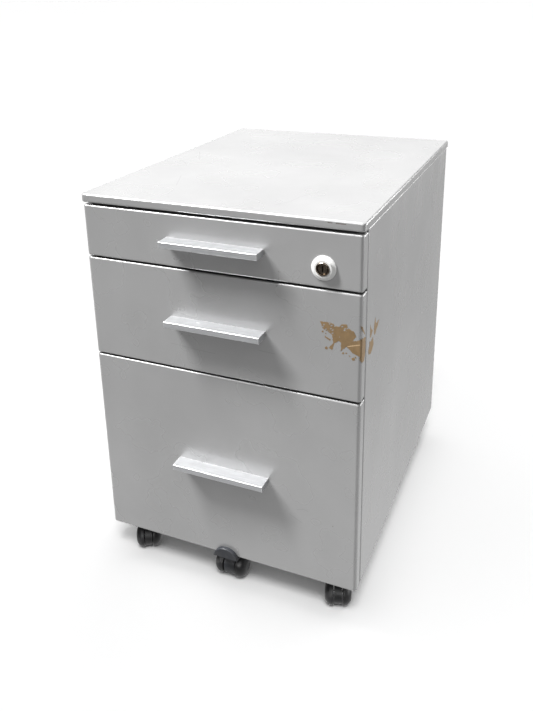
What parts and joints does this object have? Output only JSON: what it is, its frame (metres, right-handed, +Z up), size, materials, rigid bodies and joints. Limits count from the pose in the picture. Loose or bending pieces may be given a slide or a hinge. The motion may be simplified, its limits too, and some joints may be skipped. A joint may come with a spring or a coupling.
{
  "type": "mobile pedestal",
  "caption": "Steel under-desk drawer unit on twin-wheel casters: stacked drawers on ball runners over a file drawer with its own anti-tilt caster, ledge handles, key lock.",
  "frame": {"origin": "middle of the bounding box on the floor", "axes": "+Z up, drawers open towards -Y, +X to the right seen from the front"},
  "size_m": [0.404, 0.545, 0.59],
  "materials": {
    "silver_paint": "semi-gloss silver-grey powder coat",
    "inner_paint": "satin grey inner paint",
    "zinc_steel": "zinc-plated steel",
    "handle_aluminium": "satin anodised",
    "white_plastic": "glossy white",
    "lock_chrome": "nickel plated",
    "lock_brass": "dark worn plating",
    "black_plastic": "black moulded plastic"
  },
  "bodies": {
    "carcass": {"left_side_panel": "silver_paint", "right_side_panel": "silver_paint", "back_panel": "silver_paint", "base_plate": "inner_paint", "top_cover": "silver_paint", "top_front_rail": "inner_paint", "left_uprights": "inner_paint", "right_uprights": "inner_paint", "top_outer_rails": "zinc_steel", "middle_outer_rails": "zinc_steel", "file_outer_rails": "zinc_steel", "caster_plates": "zinc_steel", "caster_screws": "zinc_steel", "lock_bar_guides": "zinc_steel"},
    "top_drawer": {"top_drawer_front": "silver_paint", "top_drawer_box": "inner_paint", "top_drawer_handle": "handle_aluminium", "top_handle_screws": "zinc_steel", "top_inner_rails": "zinc_steel", "lock_housing": "lock_chrome", "lock_escutcheon": "white_plastic"},
    "lock": {"lock_plug": "lock_brass", "lock_cam": "zinc_steel"},
    "lock_bar": {"lock_bar": "zinc_steel"},
    "middle_drawer": {"middle_drawer_front": "silver_paint", "middle_drawer_box": "inner_paint", "middle_drawer_handle": "handle_aluminium", "middle_handle_screws": "zinc_steel", "middle_inner_rails": "zinc_steel"},
    "file_drawer": {"file_drawer_front": "silver_paint", "file_drawer_box": "inner_paint", "file_drawer_handle": "handle_aluminium", "file_handle_screws": "zinc_steel", "file_inner_rails": "zinc_steel", "file_hanging_rails": "zinc_steel", "fifth_caster_bracket": "black_plastic", "fifth_caster_axle": "zinc_steel"},
    "top_cages": {"top_ball_cages": "zinc_steel"},
    "middle_cages": {"middle_ball_cages": "zinc_steel"},
    "file_first_cages": {"file_outer_cages": "zinc_steel"},
    "file_telescopes": {"file_middle_rails": "zinc_steel"},
    "file_second_cages": {"file_inner_cages": "zinc_steel"},
    "fifth_left_roller": {"fifth_left_wheel": "black_plastic"},
    "fifth_right_roller": {"fifth_right_wheel": "black_plastic"},
    "front_left_caster": {"front_left_caster_body": "black_plastic", "front_left_caster_axle": "zinc_steel"},
    "front_left_left_roller": {"front_left_left_wheel": "black_plastic"},
    "front_left_right_roller": {"front_left_right_wheel": "black_plastic"},
    "front_right_caster": {"front_right_caster_body": "black_plastic", "front_right_caster_axle": "zinc_steel"},
    "front_right_left_roller": {"front_right_left_wheel": "black_plastic"},
    "front_right_right_roller": {"front_right_right_wheel": "black_plastic"},
    "rear_left_caster": {"rear_left_caster_body": "black_plastic", "rear_left_caster_axle": "zinc_steel"},
    "rear_left_left_roller": {"rear_left_left_wheel": "black_plastic"},
    "rear_left_right_roller": {"rear_left_right_wheel": "black_plastic"},
    "rear_right_caster": {"rear_right_caster_body": "black_plastic", "rear_right_caster_axle": "zinc_steel"},
    "rear_right_left_roller": {"rear_right_left_wheel": "black_plastic"},
    "rear_right_right_roller": {"rear_right_right_wheel": "black_plastic"}
  },
  "joints": [
    {"name": "top_slide", "type": "slide", "parent": "carcass", "child": "top_drawer", "axis": [0, -1, 0], "range_m": [0, 0.34]},
    {"name": "middle_slide", "type": "slide", "parent": "carcass", "child": "middle_drawer", "axis": [0, -1, 0], "range_m": [0, 0.34]},
    {"name": "file_slide", "type": "slide", "parent": "carcass", "child": "file_drawer", "axis": [0, -1, 0], "range_m": [0, 0.44]},
    {"name": "top_cage_slide", "type": "slide", "parent": "carcass", "child": "top_cages", "axis": [0, -1, 0], "range_m": [0, 0.17]},
    {"name": "middle_cage_slide", "type": "slide", "parent": "carcass", "child": "middle_cages", "axis": [0, -1, 0], "range_m": [0, 0.17]},
    {"name": "file_first_cage_slide", "type": "slide", "parent": "carcass", "child": "file_first_cages", "axis": [0, -1, 0], "range_m": [0, 0.11]},
    {"name": "file_telescope_slide", "type": "slide", "parent": "carcass", "child": "file_telescopes", "axis": [0, -1, 0], "range_m": [0, 0.22]},
    {"name": "file_second_cage_slide", "type": "slide", "parent": "carcass", "child": "file_second_cages", "axis": [0, -1, 0], "range_m": [0, 0.33]},
    {"name": "lock_turn", "type": "hinge", "parent": "top_drawer", "child": "lock", "pos_m": [0.15, -0.2505, 0.5275], "axis": [0, 1, 0], "range_deg": [0, 90]},
    {"name": "lock_bar_slide", "type": "slide", "parent": "carcass", "child": "lock_bar", "axis": [0, 0, -1], "range_m": [0, 0.00785]},
    {"name": "front_left_swivel", "type": "hinge", "parent": "carcass", "child": "front_left_caster", "pos_m": [-0.1615, -0.2105, 0.04], "axis": [0, 0, 1], "continuous": true},
    {"name": "front_left_left_roll", "type": "hinge", "parent": "front_left_caster", "child": "front_left_left_roller", "pos_m": [-0.15374, -0.22449, 0.018], "axis": [0.8746, 0.4848, 0], "continuous": true},
    {"name": "front_left_right_roll", "type": "hinge", "parent": "front_left_caster", "child": "front_left_right_roller", "pos_m": [-0.15374, -0.22449, 0.018], "axis": [0.8746, 0.4848, 0], "continuous": true},
    {"name": "front_right_swivel", "type": "hinge", "parent": "carcass", "child": "front_right_caster", "pos_m": [0.1615, -0.2105, 0.04], "axis": [0, 0, 1], "continuous": true},
    {"name": "front_right_left_roll", "type": "hinge", "parent": "front_right_caster", "child": "front_right_left_roller", "pos_m": [0.16644, -0.22572, 0.018], "axis": [0.9511, 0.309, 0], "continuous": true},
    {"name": "front_right_right_roll", "type": "hinge", "parent": "front_right_caster", "child": "front_right_right_roller", "pos_m": [0.16644, -0.22572, 0.018], "axis": [0.9511, 0.309, 0], "continuous": true},
    {"name": "rear_left_swivel", "type": "hinge", "parent": "carcass", "child": "rear_left_caster", "pos_m": [-0.1615, 0.2295, 0.04], "axis": [0, 0, 1], "continuous": true},
    {"name": "rear_left_left_roll", "type": "hinge", "parent": "rear_left_caster", "child": "rear_left_left_roller", "pos_m": [-0.15165, 0.21689, 0.018], "axis": [0.788, 0.6157, 0], "continuous": true},
    {"name": "rear_left_right_roll", "type": "hinge", "parent": "rear_left_caster", "child": "rear_left_right_roller", "pos_m": [-0.15165, 0.21689, 0.018], "axis": [0.788, 0.6157, 0], "continuous": true},
    {"name": "rear_right_swivel", "type": "hinge", "parent": "carcass", "child": "rear_right_caster", "pos_m": [0.1615, 0.2295, 0.04], "axis": [0, 0, 1], "continuous": true},
    {"name": "rear_right_left_roll", "type": "hinge", "parent": "rear_right_caster", "child": "rear_right_left_roller", "pos_m": [0.16591, 0.21412, 0.018], "axis": [0.9613, 0.2756, 0], "continuous": true},
    {"name": "rear_right_right_roll", "type": "hinge", "parent": "rear_right_caster", "child": "rear_right_right_roller", "pos_m": [0.16591, 0.21412, 0.018], "axis": [0.9613, 0.2756, 0], "continuous": true},
    {"name": "fifth_left_roll", "type": "hinge", "parent": "file_drawer", "child": "fifth_left_roller", "pos_m": [0, -0.2305, 0.02], "axis": [1, 0, 0], "continuous": true},
    {"name": "fifth_right_roll", "type": "hinge", "parent": "file_drawer", "child": "fifth_right_roller", "pos_m": [0, -0.2305, 0.02], "axis": [1, 0, 0], "continuous": true}
  ],
  "couplings": [
    {"joint": "top_cage_slide", "follows": "top_slide", "ratio": 0.5},
    {"joint": "middle_cage_slide", "follows": "middle_slide", "ratio": 0.5},
    {"joint": "file_first_cage_slide", "follows": "file_slide", "ratio": 0.25},
    {"joint": "file_telescope_slide", "follows": "file_slide", "ratio": 0.5},
    {"joint": "file_second_cage_slide", "follows": "file_slide", "ratio": 0.75},
    {"joint": "lock_turn", "follows": "lock_bar_slide", "rad_per_m": 200}
  ]
}
